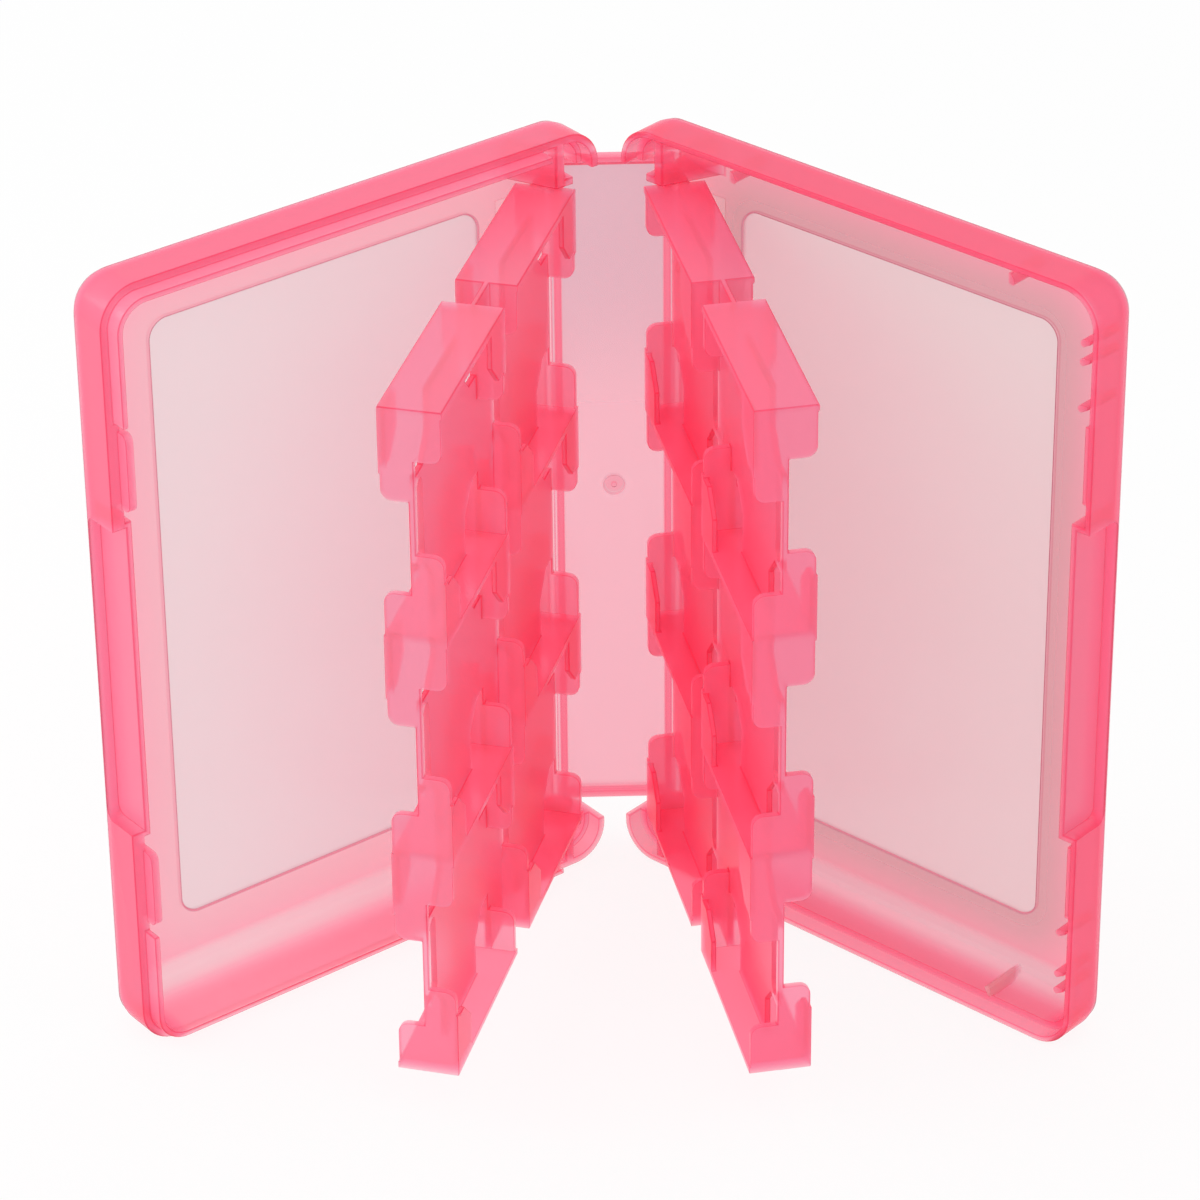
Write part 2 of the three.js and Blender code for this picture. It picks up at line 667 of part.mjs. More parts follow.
const rightTray = meshOf(tray, 'right_tray', trayPink);
rightTray.position.set(PIVOT_REACH, HINGE_INSET - PIVOT_DEPTH, 0);
rightTray.rotation.z = -RIGHT_SWING;
rightHinge.add(rightTray);

const caseBody = new THREE.Group();
caseBody.add(meshOf(spinePanel(), 'spine_panel', spinePink));
caseBody.add(meshOf(hingeFilm(-1), 'left_hinge_film', spinePink));
caseBody.add(meshOf(hingeFilm(1), 'right_hinge_film', spinePink));
caseBody.add(leftHinge, rightHinge);

// The origin is the middle of the footprint, at the height of the edges that the case stands on.
caseBody.updateMatrixWorld(true);
const bounds = new THREE.Box3().setFromObject(caseBody, true);
const middle = bounds.getCenter(new THREE.Vector3());
caseBody.position.set(-middle.x, -middle.y, -bounds.min.z);

const cardCase = new THREE.Group();
cardCase.add(caseBody);

export default cardCase;
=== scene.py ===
# %% [markdown]
# # A frosted card case, standing open
# The object is a folding case for small game cards, moulded in translucent pink polypropylene.
# Two covers turn on thin hinges beside a narrow spine, and each cover holds a swinging tray
# with card pockets on both faces. The solid shapes come from the imported model. This script gives
# them moulded edges, hinge films, a see-through frosted plastic, soft light and a camera.

# %% Load the solid model and keep its box
import json

import bmesh
import bpy
import numpy as np
from mathutils import Matrix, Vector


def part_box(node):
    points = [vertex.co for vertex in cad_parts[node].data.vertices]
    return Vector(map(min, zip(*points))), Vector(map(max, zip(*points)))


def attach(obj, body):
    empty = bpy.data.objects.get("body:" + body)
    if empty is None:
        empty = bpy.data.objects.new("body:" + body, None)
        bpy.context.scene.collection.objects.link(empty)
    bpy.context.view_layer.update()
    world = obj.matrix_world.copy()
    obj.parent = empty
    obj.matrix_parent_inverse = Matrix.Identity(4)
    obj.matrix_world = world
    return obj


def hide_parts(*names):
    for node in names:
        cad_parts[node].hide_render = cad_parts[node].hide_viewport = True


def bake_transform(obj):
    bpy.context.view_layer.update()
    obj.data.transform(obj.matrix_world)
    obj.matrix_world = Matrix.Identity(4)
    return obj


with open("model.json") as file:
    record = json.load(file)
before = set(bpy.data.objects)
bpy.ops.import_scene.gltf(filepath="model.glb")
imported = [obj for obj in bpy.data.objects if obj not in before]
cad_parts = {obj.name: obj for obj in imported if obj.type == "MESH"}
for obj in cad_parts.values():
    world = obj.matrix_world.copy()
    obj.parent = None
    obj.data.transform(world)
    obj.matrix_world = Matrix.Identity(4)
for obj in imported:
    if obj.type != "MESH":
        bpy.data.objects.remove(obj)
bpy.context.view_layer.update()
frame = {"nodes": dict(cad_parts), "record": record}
joints = {joint["name"]: joint for joint in frame["record"]["behaviour"]["joints"]}
print("nodes:", sorted(frame["nodes"]))

# %% [markdown]
# ## The camera
# The photograph looks down on the open case from in front, through a long lens. Its place was
# worked out from the straight edges of the covers, whose directions fix the pitch, the turn and
# the distance. A camera in Blender looks along its own -Z, so the matrix below has the picture's
# right and up directions and the backward direction as its columns.

# %% Camera at the photograph's angle
MM = 0.001
LENS_PIXELS = 5187.11
PICTURE_PIXELS = 1200
SENSOR = 36.0
EYE_FROM_SPINE = np.array([-21.334, -786.1, 502.122]) * MM
PITCH_TURN_ROLL = np.radians([30.0218, -1.36288, -0.58621])
CLEAR_BOUNCES = 24
MATT_BOUNCES = 8


def picture_axes(pitch, turn, roll):
    """Right, up and forward directions of a camera.

    Forward starts along +Y, turns about Z, then dips by the pitch. Right and up are turned
    about forward by the roll.
    """
    right = np.array([np.cos(turn), np.sin(turn), 0.0])
    level = np.array([-np.sin(turn), np.cos(turn), 0.0])
    forward = np.cos(pitch) * level + np.array([0.0, 0.0, -np.sin(pitch)])
    up = np.sin(pitch) * level + np.array([0.0, 0.0, np.cos(pitch)])
    rolled_right = np.cos(roll) * right + np.sin(roll) * up
    rolled_up = np.cos(roll) * up - np.sin(roll) * right
    return rolled_right, rolled_up, forward


hinge_left = np.array(joints["left_cover_hinge"]["pos_m"])
hinge_right = np.array(joints["right_cover_hinge"]["pos_m"])
spine_middle = (hinge_left + hinge_right) / 2
eye = np.array([spine_middle[0], spine_middle[1], 0.0]) + EYE_FROM_SPINE
right, up, forward = picture_axes(*PITCH_TURN_ROLL)
pose = np.eye(4)
pose[:3, 0] = right
pose[:3, 1] = up
pose[:3, 2] = -forward
pose[:3, 3] = eye
camera_data = bpy.data.cameras.new("photo_camera")
camera_data.sensor_width = SENSOR
camera_data.sensor_fit = "HORIZONTAL"
camera_data.lens = LENS_PIXELS / PICTURE_PIXELS * SENSOR
camera_data.clip_end = 20.0
camera = bpy.data.objects.new("photo_camera", camera_data)
bpy.context.scene.collection.objects.link(camera)
camera.matrix_world = Matrix(pose)
bpy.context.scene.camera = camera
bpy.context.scene.view_settings.view_transform = "Standard"
bpy.context.scene.cycles.max_bounces = CLEAR_BOUNCES
bpy.context.scene.cycles.transmission_bounces = CLEAR_BOUNCES
bpy.context.scene.cycles.diffuse_bounces = MATT_BOUNCES
bpy.context.scene.cycles.transparent_max_bounces = CLEAR_BOUNCES
print("camera at", np.round(eye, 3), "lens", round(camera_data.lens, 1))

# %% [markdown]
# ## A white studio
# Clear plastic shows what is behind it, so the studio is a white room: a white world that the
# camera sees directly, by reflection and through the plastic, and a pale floor. What lights the
# object is set apart from what is seen, so that the plastic keeps its own colour. The floor is
# mostly a plain white seen by the camera and partly a matt surface, which keeps a faint shadow.

# %% World and floor
def add_node(tree, kind, **inputs):
    """Adds a node to a tree and sets its named inputs, with spaces written as underscores."""
    node = tree.nodes.new(kind)
    for name, value in inputs.items():
        node.inputs[name.replace("_", " ")].default_value = value
    return node


def math_node(tree, operation, first, second=0.0):
    """Math node whose two inputs are sockets or plain numbers. Gives its output socket."""
    node = tree.nodes.new("ShaderNodeMath")
    node.operation = operation
    for socket, value in zip(node.inputs, (first, second)):
        if isinstance(value, (int, float)):
            socket.default_value = value
        else:
            tree.links.new(value, socket)
    return node.outputs[0]


def mixed_shader(tree, factor, first, second):
    """Mix of two shader sockets by a factor socket. Gives its output socket."""
    node = tree.nodes.new("ShaderNodeMixShader")
    for socket, source in zip(node.inputs, (factor, first, second)):
        tree.links.new(source, socket)
    return node.outputs[0]


def seen_directly(tree):
    """Mask of 1 on camera, glossy and transmitted rays and 0 on the rays that light a surface."""
    path = tree.nodes.new("ShaderNodeLightPath")
    met = math_node(tree, "MAXIMUM", path.outputs["Is Camera Ray"], path.outputs["Is Glossy Ray"])
    return math_node(tree, "MAXIMUM", met, path.outputs["Is Transmission Ray"])


ROOM_LIGHT = 0.85
world = bpy.data.worlds.new("white_room")
world.use_nodes = True
bpy.context.scene.world = world
room = world.node_tree
room.nodes.clear()
lighting = add_node(room, "ShaderNodeBackground", Color=(1, 1, 1, 1), Strength=ROOM_LIGHT)
seen = add_node(room, "ShaderNodeBackground", Color=(1, 1, 1, 1), Strength=1.0)
output = room.nodes.new("ShaderNodeOutputWorld")
chosen = mixed_shader(room, seen_directly(room), lighting.outputs[0], seen.outputs[0])
room.links.new(chosen, output.inputs["Surface"])

FLOOR_HALF = 1.2
FLOOR_GAP = 0.2 * MM
FLOOR_GREY = (0.92, 0.92, 0.92, 1)
KEPT_SHADOW = 0.12
floor_mesh = bpy.data.meshes.new("floor")
corners = np.array([[-1, -1, 0], [1, -1, 0], [1, 1, 0], [-1, 1, 0]]) * FLOOR_HALF
floor_mesh.from_pydata(corners.tolist(), [], [(0, 1, 2, 3)])
floor = bpy.data.objects.new("floor", floor_mesh)
floor.location.z = -FLOOR_GAP
bpy.context.scene.collection.objects.link(floor)
floor_paint = bpy.data.materials.new("pale_floor")
floor_paint.use_nodes = True
tree = floor_paint.node_tree
tree.nodes.clear()
matt = add_node(tree, "ShaderNodeBsdfDiffuse", Color=FLOOR_GREY)
white = add_node(tree, "ShaderNodeEmission", Color=(1, 1, 1, 1), Strength=1.0)
share = math_node(tree, "MULTIPLY", seen_directly(tree), 1.0 - KEPT_SHADOW)
output = tree.nodes.new("ShaderNodeOutputMaterial")
surface = mixed_shader(tree, share, matt.outputs[0], white.outputs[0])
tree.links.new(surface, output.inputs["Surface"])
floor_mesh.materials.append(floor_paint)
print("floor half width", FLOOR_HALF)

# %% [markdown]
# ## Soft lamps
# A large soft lamp above and in front gives the frosted faces a gentle sheen, and a smaller one
# from the left opens the shaded side. Both are broad, so that they leave no hard spots.

# %% Lamps
def soft_lamp(name, place, target, size, power):
    """Square area lamp at a place, turned so that its -Z axis points at a target."""
    data = bpy.data.lights.new(name, "AREA")
    data.size = size
    data.energy = power
    lamp = bpy.data.objects.new(name, data)
    bpy.context.scene.collection.objects.link(lamp)
    away = np.array(place) - np.array(target)
    away = away / np.linalg.norm(away)
    side = np.cross([0.0, 0.0, 1.0], away)
    side = side / np.linalg.norm(side)
    turn = np.eye(4)
    turn[:3, 0] = side
    turn[:3, 1] = np.cross(away, side)
    turn[:3, 2] = away
    turn[:3, 3] = place
    lamp.matrix_world = Matrix(turn)


MIDDLE_OF_CASE = (0.0, 0.0, 0.07)
soft_lamp("lamp_front", (0.5, -0.9, 1.1), MIDDLE_OF_CASE, size=0.9, power=3.0)
soft_lamp("lamp_left", (-1.1, 0.1, 0.7), MIDDLE_OF_CASE, size=0.6, power=4.0)

# %% [markdown]
# ## Frosted polypropylene
# The plastic is dyed all through, so its colour deepens with the length of plastic that light
# crosses: a thin window is nearly white, a panel is pale pink and a wall seen end-on is strong
# pink. A surface colour can't do that. A volume absorption inside the closed solids can, and it
# takes away mostly green and some blue. The surface itself has a fine spark-eroded grain that
# blurs what is seen through it, so a node group makes that grain once for all the plastics.

# %% Node group for the moulded grain
def frost_group():
    """Fine moulded grain: noise at two scales.

    Roughness is a base plus a share of the coarse noise. Height is the fine noise and feeds a bump.
    """
    group = bpy.data.node_groups.new("frosted_grain", "ShaderNodeTree")
    sockets = group.interface
    numbers = {"Base": 0.3, "Variation": 0.1, "Grain Scale": 2600.0, "Cloud Scale": 60.0}
    for name, value in numbers.items():
        socket = sockets.new_socket(name, in_out="INPUT", socket_type="NodeSocketFloat")
        socket.default_value = value
    sockets.new_socket("Roughness", in_out="OUTPUT", socket_type="NodeSocketFloat")
    sockets.new_socket("Height", in_out="OUTPUT", socket_type="NodeSocketFloat")
    start = group.nodes.new("NodeGroupInput")
    end = group.nodes.new("NodeGroupOutput")
    place = group.nodes.new("ShaderNodeTexCoord")
    cloud = add_node(group, "ShaderNodeTexNoise", Detail=3.0, Roughness=0.6)
    grain = add_node(group, "ShaderNodeTexNoise", Detail=2.0, Roughness=0.55)
    group.links.new(place.outputs["Object"], cloud.inputs["Vector"])
    group.links.new(place.outputs["Object"], grain.inputs["Vector"])
    group.links.new(start.outputs["Cloud Scale"], cloud.inputs["Scale"])
    group.links.new(start.outputs["Grain Scale"], grain.inputs["Scale"])
    centred = math_node(group, "SUBTRACT", cloud.outputs["Fac"], 0.5)
    change = math_node(group, "MULTIPLY", centred, start.outputs["Variation"])
    roughness = math_node(group, "ADD", change, start.outputs["Base"])
    group.links.new(roughness, end.inputs["Roughness"])
    group.links.new(grain.outputs["Fac"], end.inputs["Height"])
    return group


frosted_grain = frost_group()
print("group sockets:", [item.name for item in frosted_grain.interface.items_tree])

# %% [markdown]
# Each cover has a large thin window in its panel. The mould is polished there and grained around
# it, so the window scatters less light and shows more of the white behind. Its step is painted as a
# fine dark line of shade. A second group makes masks of a rounded outline: the inside, the line and
# what is around it. A Mapping node turns them into the plane of each cover.

# %% Node group for rounded patches
def clipped(tree, value):
    """Value held between 0 and 1."""
    return math_node(tree, "MINIMUM", math_node(tree, "MAXIMUM", value, 0.0), 1.0)


def smoothed(tree, value):
    """Value v from 0 to 1 turned into v^2 (3 - 2v), which starts and ends level."""
    square = math_node(tree, "MULTIPLY", value, value)
    rest = math_node(tree, "SUBTRACT", 3.0, math_node(tree, "ADD", value, value))
    return math_node(tree, "MULTIPLY", square, rest)


def patch_group():
    """Masks of a rounded rectangle about the origin of X and Z.

    With q = |p| - half + radius, the distance to the outline is the length of the positive part of
    q, plus the larger of its parts where both are negative, minus the radius. The mask falls from
    1 to 0 as the distance goes from -softness to +softness. The line is 1 on the outline and falls
    smoothly to 0 at one line width from it, and around is 1 inside and falls to 0 in the same way
    at the fade distance.
    """
    group = bpy.data.node_groups.new("rounded_patch", "ShaderNodeTree")
    sockets = group.interface
    sockets.new_socket("Place", in_out="INPUT", socket_type="NodeSocketVector")
    for name in ("Half Width", "Half Height", "Radius", "Softness", "Line Width", "Fade"):
        sockets.new_socket(name, in_out="INPUT", socket_type="NodeSocketFloat")
    for name in ("Mask", "Line", "Around"):
        sockets.new_socket(name, in_out="OUTPUT", socket_type="NodeSocketFloat")
    start = group.nodes.new("NodeGroupInput")
    end = group.nodes.new("NodeGroupOutput")
    split = group.nodes.new("ShaderNodeSeparateXYZ")
    group.links.new(start.outputs["Place"], split.inputs[0])
    radius = start.outputs["Radius"]
    reach = []
    for axis, half in (("X", "Half Width"), ("Z", "Half Height")):
        size = math_node(group, "ABSOLUTE", split.outputs[axis])
        beyond = math_node(group, "SUBTRACT", size, start.outputs[half])
        reach.append(math_node(group, "ADD", beyond, radius))
    positive = [math_node(group, "MAXIMUM", value, 0.0) for value in reach]
    squares = [math_node(group, "MULTIPLY", value, value) for value in positive]
    outside = math_node(group, "SQRT", math_node(group, "ADD", *squares))
    inside = math_node(group, "MINIMUM", math_node(group, "MAXIMUM", *reach), 0.0)
    distance = math_node(group, "SUBTRACT", math_node(group, "ADD", outside, inside), radius)
    ramp = math_node(group, "DIVIDE", distance, start.outputs["Softness"])
    middle = math_node(group, "MULTIPLY", math_node(group, "SUBTRACT", 1.0, ramp), 0.5)
    group.links.new(clipped(group, middle), end.inputs["Mask"])
    apart = math_node(group, "ABSOLUTE", distance)
    for name, width, value in (("Line", "Line Width", apart), ("Around", "Fade", distance)):
        drop = math_node(group, "DIVIDE", value, start.outputs[width])
        fall = smoothed(group, clipped(group, math_node(group, "SUBTRACT", 1.0, drop)))
        group.links.new(fall, end.inputs[name])
    return group


rounded_patch = patch_group()
print("group sockets:", [item.name for item in rounded_patch.interface.items_tree])

# %% [markdown]
# Light that enters near an edge runs along the plastic for a long way before it comes out, so the
# real case shows a fine deep line on every rounded edge. The rounding below writes an attribute
# that is 1 on the crest of an edge and 0 on the faces beside it. A third group turns it into the
# two colours of an edge, one for the skin and one for the clear plastic under it.

# %% Node group for the deep edges
EDGE_NAME = "moulded_edge"
EDGE_SPREAD = 0.6


def mixed_colour(tree, factor, first, second):
    """Mix of two colours, sockets or plain triples, by a factor socket. Gives its output socket."""
    node = tree.nodes.new("ShaderNodeMix")
    node.data_type = "RGBA"
    tree.links.new(factor, node.inputs["Factor"])
    for name, colour in (("A", first), ("B", second)):
        socket = next(item for item in node.inputs if item.name == name and item.type == "RGBA")
        if isinstance(colour, tuple):
            socket.default_value = (*colour, 1)
        else:
            tree.links.new(colour, socket)
    return next(item for item in node.outputs if item.type == "RGBA")


def edge_group():
    """Colours that change to their deep partners by a power of the edge attribute."""
    group = bpy.data.node_groups.new("deep_edges", "ShaderNodeTree")
    sockets = group.interface
    for name in ("Skin", "Deep Skin", "Clear", "Deep Clear"):
        sockets.new_socket(name, in_out="INPUT", socket_type="NodeSocketColor")
    for name in ("Skin", "Clear"):
        sockets.new_socket(name, in_out="OUTPUT", socket_type="NodeSocketColor")
    start = group.nodes.new("NodeGroupInput")
    end = group.nodes.new("NodeGroupOutput")
    crest = group.nodes.new("ShaderNodeAttribute")
    crest.attribute_name = EDGE_NAME
    depth = math_node(group, "POWER", crest.outputs["Fac"], EDGE_SPREAD)
    for name in ("Skin", "Clear"):
        mixed = mixed_colour(group, depth, start.outputs[name], start.outputs["Deep " + name])
        group.links.new(mixed, end.inputs[name])
    return group


deep_edges = edge_group()
print("group sockets:", [item.name for item in deep_edges.interface.items_tree])

# %% [markdown]
# Each plastic is a Principled shader with full transmission and a volume. Absorption per metre is
# the density times one minus the volume colour, so the volume colour sets the hue of thick
# plastic and the density sets how quickly it deepens. Both are plain socket values. A share of a
# second, matt shader lies over it as the milky skin that makes the plastic frosted.

# %% The plastics
CLEAR = (1.0, 0.985, 0.975)
DEEP_CLEAR = (0.97, 0.36, 0.48)
DEEP_SKIN = (0.94, 0.08, 0.19)
PASSED_LIGHT = (1.0, 0.93, 0.95)
DYE = (1.0, 0.25, 0.48)
WEAK_BEND = 1.05
SKIN_BEND = 1.45
GRAIN_HEIGHT = 0.02 * MM
GRAIN_STRENGTH = 0.25
GRAIN_SPREAD = 0.1
SMOOTH_GRAIN = 0.22
ROUGH_GRAIN = 0.35


def frosted_plastic(name, skin_colour, skin_share, density, roughness):
    """Translucent plastic: rough transmission with absorption inside, under a thin lit skin.

    The skin is a share of scattered light on faces that are met from outside. Light that is already
    inside the plastic meets only the clear shader, which bends it so little that none is trapped.
    """
    paint = bpy.data.materials.new(name)
    paint.use_nodes = True
    tree = paint.node_tree
    tree.nodes.clear()
    clear = add_node(tree, "ShaderNodeBsdfPrincipled", IOR=WEAK_BEND, Transmission_Weight=1.0)
    skin = add_node(tree, "ShaderNodeBsdfPrincipled", IOR=SKIN_BEND)
    edges = tree.nodes.new("ShaderNodeGroup")
    edges.name = "edges"
    edges.node_tree = deep_edges
    for socket, colour in (("Skin", skin_colour), ("Deep Skin", DEEP_SKIN),
                           ("Clear", CLEAR), ("Deep Clear", DEEP_CLEAR)):
        edges.inputs[socket].default_value = (*colour, 1)
    tree.links.new(edges.outputs["Skin"], skin.inputs["Base Color"])
    tree.links.new(edges.outputs["Clear"], clear.inputs["Base Color"])
    grain = tree.nodes.new("ShaderNodeGroup")
    grain.node_tree = frosted_grain
    grain.inputs["Base"].default_value = roughness
    grain.inputs["Variation"].default_value = GRAIN_SPREAD
    bump = add_node(tree, "ShaderNodeBump", Strength=GRAIN_STRENGTH, Distance=GRAIN_HEIGHT)
    tree.links.new(grain.outputs["Height"], bump.inputs["Height"])
    for shader in (clear, skin):
        tree.links.new(grain.outputs["Roughness"], shader.inputs["Roughness"])
        tree.links.new(bump.outputs["Normal"], shader.inputs["Normal"])
    side = tree.nodes.new("ShaderNodeNewGeometry")
    outside = math_node(tree, "SUBTRACT", 1.0, side.outputs["Backfacing"])
    share = math_node(tree, "MULTIPLY", outside, skin_share)
    both = mixed_shader(tree, share, clear.outputs["BSDF"], skin.outputs["BSDF"])
    path = tree.nodes.new("ShaderNodeLightPath")
    passing = add_node(tree, "ShaderNodeBsdfTransparent", Color=(*PASSED_LIGHT, 1))
    lit = mixed_shader(tree, path.outputs["Is Shadow Ray"], both, passing.outputs[0])
    inside = add_node(tree, "ShaderNodeVolumeAbsorption", Color=(*DYE, 1), Density=density)
    output = tree.nodes.new("ShaderNodeOutputMaterial")
    tree.links.new(lit, output.inputs["Surface"])
    tree.links.new(inside.outputs["Volume"], output.inputs["Volume"])
    return paint


# Painted shade: the right-hand cover and tray get deeper skins, and the right cover more dye, as the
# side away from the light.
LEFT_SKIN = (0.98, 0.27, 0.42)
RIGHT_SHADED_SKIN = (0.95, 0.19, 0.32)
LEFT_TRAY_SKIN = (1.0, 0.31, 0.45)
RIGHT_TRAY_SHADED_SKIN = (0.99, 0.21, 0.35)
SPINE_SKIN = (0.92, 0.5, 0.56)
FILM_SKIN = (1.0, 0.74, 0.78)
left_plastic = frosted_plastic(
    "left_cover_frosted", LEFT_SKIN, skin_share=0.5, density=520.0, roughness=SMOOTH_GRAIN)
right_plastic = frosted_plastic(
    "right_cover_frosted", RIGHT_SHADED_SKIN, skin_share=0.5, density=600.0, roughness=SMOOTH_GRAIN)
spine_plastic = frosted_plastic(
    "spine_frosted", SPINE_SKIN, skin_share=0.35, density=440.0, roughness=SMOOTH_GRAIN)
film_plastic = frosted_plastic(
    "film_frosted", FILM_SKIN, skin_share=0.3, density=250.0, roughness=SMOOTH_GRAIN)
left_tray_plastic = frosted_plastic(
    "left_tray_frosted", LEFT_TRAY_SKIN, skin_share=0.52, density=680.0, roughness=ROUGH_GRAIN)
right_tray_plastic = frosted_plastic(
    "right_tray_frosted", RIGHT_TRAY_SHADED_SKIN, skin_share=0.58, density=680.0, roughness=ROUGH_GRAIN)
print("plastics:", [paint.name for paint in bpy.data.materials if paint.name.endswith("_frosted")])

# %% [markdown]
# The windows are part of the covers' own plastic, so their colour is mixed in before the edges
# are: a paler skin inside the outline, greyed as painted shade, and a dull line on it, painted as
# the shade of the step. Thin panels show the grey of the room behind, so the clear colour is greyed
# around the window too, as painted shade that is deeper on the right cover. The gate mark on the
# spine, where the plastic flowed into the mould, is a patch of the same kind with a round outline,
# whose grey rim is painted shade. Narrow patches also deepen the spine's thick ends and its two
# ridges, and brighten the fillets at the bottom of the covers, which scatter the light that falls on
# them from above. The top of the spine, between the ears of the covers, is painted a little greyer
# as the shade that the covers cast on it.

# %% Sizes and colours of the patches
PATCH_SOFTNESS = 0.15 * MM
WINDOW_MIDDLE = np.array([47.15, 0.0, 71.5]) * MM
WINDOW_HALF = np.array([32.75, 56.5]) * MM
WINDOW_RADIUS = 3.5 * MM
WINDOW_LINE = 0.35 * MM
# Painted shade: these colours draw the window's step as a dull dark line.
STEP_SHADE_SKIN = (0.5, 0.11, 0.19)
STEP_SHADE_CLEAR = (0.78, 0.45, 0.52)
PANEL_FADE = 12.0 * MM
# Around, inside and line. The surround and the window are greyed as painted shade, deeper on the right
# cover.
LEFT_WINDOW = {"Skin": ((0.88, 0.42, 0.47), (0.74, 0.8, 0.75), STEP_SHADE_SKIN),
               "Clear": ((0.97, 1.0, 0.98), (0.95, 1.0, 0.99), STEP_SHADE_CLEAR)}
RIGHT_WINDOW = {"Skin": ((0.58, 0.2, 0.22), (0.69, 0.69, 0.62), STEP_SHADE_SKIN),
                "Clear": ((0.84, 0.94, 0.87), (0.94, 1.0, 0.98), STEP_SHADE_CLEAR)}
GATE_MIDDLE = np.array([0.0, 0.0, 71.0]) * MM
GATE_HALF = np.array([1.8, 1.8]) * MM
GATE_LINE = 0.35 * MM
GATE_FADE = 2.0 * MM
# Around, inside and rim of the gate mark. The grey rim is painted shade.
GATE_COLOURS = {"Skin": ((0.94, 0.54, 0.6), (0.92, 0.22, 0.32), (0.62, 0.42, 0.46)),
                "Clear": ((1.0, 0.99, 0.98), (0.98, 0.68, 0.74), (0.88, 0.82, 0.83))}
SPINE_ENDS = np.array([[0.0, 0.0, 8.6], [0.0, 0.0, 133.4]]) * MM
END_HALF = np.array([20.0, 0.7]) * MM
END_FADE = 0.9 * MM
RIDGES = np.array([[-9.25, 0.0, 71.0], [9.25, 0.0, 71.0]]) * MM
RIDGE_HALF = np.array([0.4, 63.0]) * MM
RIDGE_FADE = 0.4 * MM
THICK_COLOURS = {"Skin": (1.0, 0.16, 0.28), "Clear": (1.0, 0.55, 0.62)}
# Painted shade: the top of the spine, between the covers' ears, is greyed as shade from the covers.
SHADE_MIDDLE = np.array([0.0, 0.0, 130.0]) * MM
SHADE_HALF = np.array([20.0, 3.0]) * MM
SHADE_FADE = 45.0 * MM
SHADE_COLOURS = {"Skin": (0.66, 0.38, 0.43), "Clear": (0.88, 0.92, 0.92)}
GLOW_MIDDLE = np.array([48.0, 0.0, 4.8]) * MM
GLOW_HALF = np.array([40.0, 0.6]) * MM
GLOW_FADE = 2.8 * MM
LEFT_GLOW = {"Skin": (0.9, 0.86, 0.82)}
RIGHT_GLOW = {"Skin": (0.72, 0.62, 0.6)}
LEFT_OPEN = np.radians(53.66)
RIGHT_OPEN = np.radians(46.92)
print("window", np.round(2 * WINDOW_HALF / MM, 1), "mm")

# %% Windows, gate mark and plain patches
def add_patch(paint, origin, turn, middle, half, radius, line_width, fade, colours):
    """Mixes a patch with a rounded outline into the skin and clear colours of a plastic.

    The Mapping node turns the plan by the angle that brings the piece's direction to +X, and moves
    the middle of the patch to the origin. Each colour goes from what is there already to the one
    around the patch, then the one inside it, then the one on its outline.
    """
    tree = paint.node_tree
    place = tree.nodes.new("ShaderNodeTexCoord")
    plane = tree.nodes.new("ShaderNodeMapping")
    swing = Matrix.Rotation(turn, 3, "Z")
    plane.inputs["Rotation"].default_value = (0.0, 0.0, turn)
    plane.inputs["Location"].default_value = -np.array(swing) @ origin - middle
    tree.links.new(place.outputs["Object"], plane.inputs["Vector"])
    patch = tree.nodes.new("ShaderNodeGroup")
    patch.node_tree = rounded_patch
    sizes = {"Half Width": half[0], "Half Height": half[1], "Radius": radius,
             "Softness": PATCH_SOFTNESS, "Line Width": line_width, "Fade": fade}
    for socket, value in sizes.items():
        patch.inputs[socket].default_value = value
    tree.links.new(plane.outputs["Vector"], patch.inputs["Place"])
    edges = tree.nodes["edges"]
    for socket, (around, inside, line) in colours.items():
        target = edges.inputs[socket]
        plain = target.links[0].from_socket if target.is_linked else tuple(target.default_value)[:3]
        near = mixed_colour(tree, patch.outputs["Around"], plain, around)
        filled = mixed_colour(tree, patch.outputs["Mask"], near, inside)
        lined = mixed_colour(tree, patch.outputs["Line"], filled, line)
        tree.links.new(lined, target)


def add_tint(paint, origin, turn, middle, half, fade, colours):
    """Patch of one colour without a line, as round at its ends as its narrow side allows."""
    add_patch(paint, origin, turn, middle, half, half.min(), fade, fade,
              {socket: (colour, colour, colour) for socket, colour in colours.items()})


left_foot = np.array([hinge_left[0], hinge_left[1], 0.0])
right_foot = np.array([hinge_right[0], hinge_right[1], 0.0])
spine_foot = (left_foot + right_foot) / 2
for paint, foot, turn, window, glow in (
        (left_plastic, left_foot, np.pi / 2 + LEFT_OPEN, LEFT_WINDOW, LEFT_GLOW),
        (right_plastic, right_foot, np.pi / 2 - RIGHT_OPEN, RIGHT_WINDOW, RIGHT_GLOW)):
    add_patch(paint, foot, turn, WINDOW_MIDDLE, WINDOW_HALF, WINDOW_RADIUS, WINDOW_LINE, PANEL_FADE,
              window)
    add_tint(paint, foot, turn, GLOW_MIDDLE, GLOW_HALF, GLOW_FADE, glow)
add_tint(spine_plastic, spine_foot, 0.0, SHADE_MIDDLE, SHADE_HALF, SHADE_FADE, SHADE_COLOURS)
add_patch(spine_plastic, spine_foot, 0.0, GATE_MIDDLE, GATE_HALF, GATE_HALF[0], GATE_LINE, GATE_FADE,
          GATE_COLOURS)
for middles, half, fade in ((SPINE_ENDS, END_HALF, END_FADE), (RIDGES, RIDGE_HALF, RIDGE_FADE)):
    for middle in middles:
        add_tint(spine_plastic, spine_foot, 0.0, middle, half, fade, THICK_COLOURS)
print("patched:", [paint.name for paint in (left_plastic, right_plastic, spine_plastic)])

